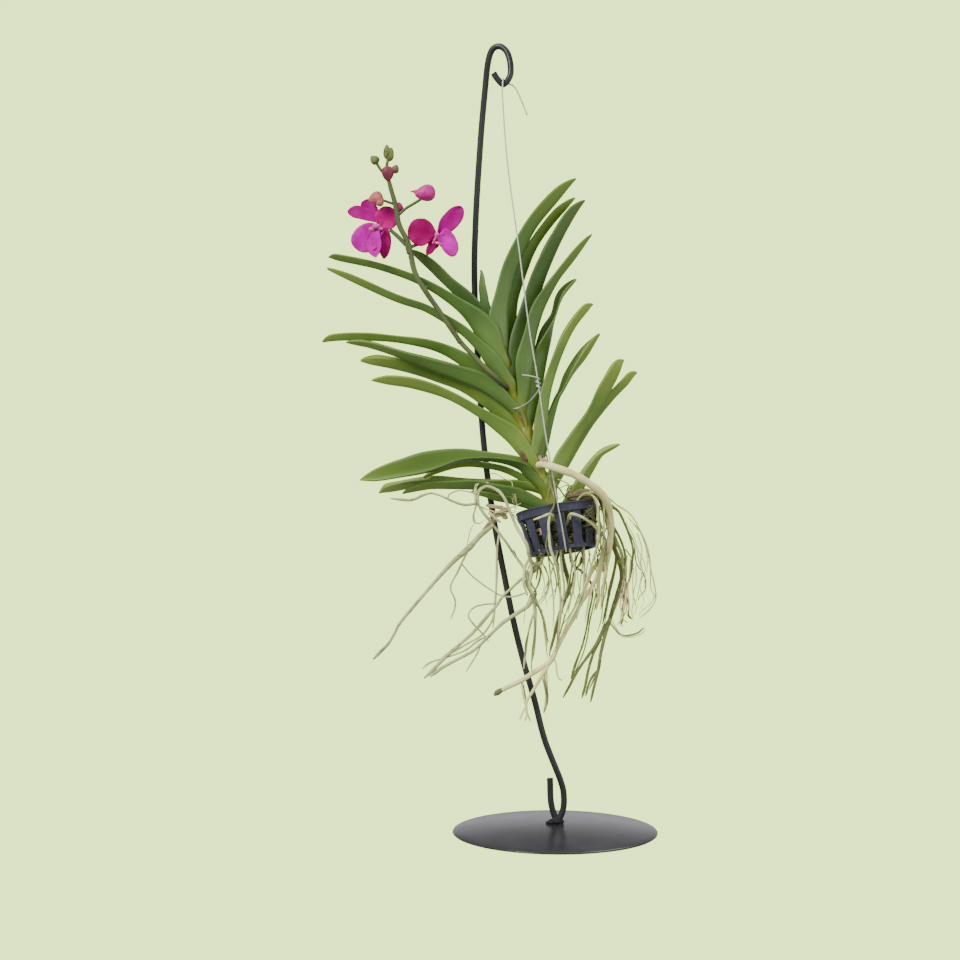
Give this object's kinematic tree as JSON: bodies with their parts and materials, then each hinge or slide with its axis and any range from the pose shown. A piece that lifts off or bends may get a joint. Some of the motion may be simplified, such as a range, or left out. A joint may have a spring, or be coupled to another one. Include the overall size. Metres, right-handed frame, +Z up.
{
  "type": "vanda orchid in hanging net basket on a hook stand",
  "caption": "Young vanda orchid with a fan of strap leaves, bare aerial roots and magenta blooms, in a small net basket hung by a wire from a bent rod on a round base plate.",
  "frame": {"origin": "middle of the base plate's flat underside, on the surface that the stand rests on", "axes": "+Z up the stand, +X to the viewer's right and -Y towards the viewer, with the flower spike on the left"},
  "size_m": [0.2133, 0.13, 0.4998],
  "materials": {
    "plate_metal": "dark grey semi-gloss paint",
    "rod_metal": "near-black satin paint",
    "basket_plastic": "dark blue-grey moulded plastic",
    "galvanised_wire": "dull galvanised wire",
    "stem": "living stem in yellow-green leaf sheaths",
    "leaf_green": "living leaf, smooth and waxy mid green",
    "leaf_dark": "living leaf, smooth and waxy dark green",
    "leaf_light": "living leaf, smooth and waxy yellow-green",
    "root_cream": "living aerial root with a dry cream skin",
    "root_grey": "living aerial roots with a dry grey-green skin",
    "root_olive": "living aerial roots, damp olive green",
    "petal": "living petal, crimson and magenta",
    "petal_pale": "living lip and column, pale pink",
    "spike_green": "living flower stalk and green buds",
    "bud_pink": "living flower bud, pink",
    "bud_peach": "living flower bud, peach to purple"
  },
  "bodies": {
    "root": {"base_plate": "plate_metal", "stand_rod": "rod_metal", "net_basket": "basket_plastic", "hanger_wire": "galvanised_wire", "stem_tie": "galvanised_wire", "stem": "stem", "leaf_left_01": "leaf_dark", "leaf_left_02": "leaf_dark", "leaf_left_03": "leaf_light", "leaf_left_04": "leaf_dark", "leaf_left_05": "leaf_green", "leaf_left_06": "leaf_light", "leaf_left_07": "leaf_light", "leaf_left_08": "leaf_green", "leaf_left_09": "leaf_dark", "leaf_left_10": "leaf_green", "leaf_left_11": "leaf_green", "leaf_left_12": "leaf_dark", "leaf_left_13": "leaf_green", "leaf_right_01": "leaf_light", "leaf_right_02": "leaf_light", "leaf_right_03": "leaf_green", "leaf_right_04": "leaf_green", "leaf_right_05": "leaf_green", "leaf_right_06": "leaf_dark", "leaf_right_07": "leaf_green", "leaf_right_08": "leaf_green", "leaf_right_09": "leaf_dark", "leaf_right_10": "leaf_green", "thick_root": "root_cream", "left_roots": "root_grey", "olive_roots": "root_olive", "pale_roots": "root_grey", "flower_spike": "spike_green", "bud_large": "bud_pink", "bud_peach": "bud_peach", "bud_left": "spike_green", "bud_top": "spike_green", "bud_crimson": "petal", "bud_purple": "bud_peach", "bud_side": "bud_peach", "bloom_left": "petal", "bloom_left_lip": "petal_pale", "bloom_right": "petal", "bloom_right_lip": "petal_pale"}
  },
  "joints": []
}
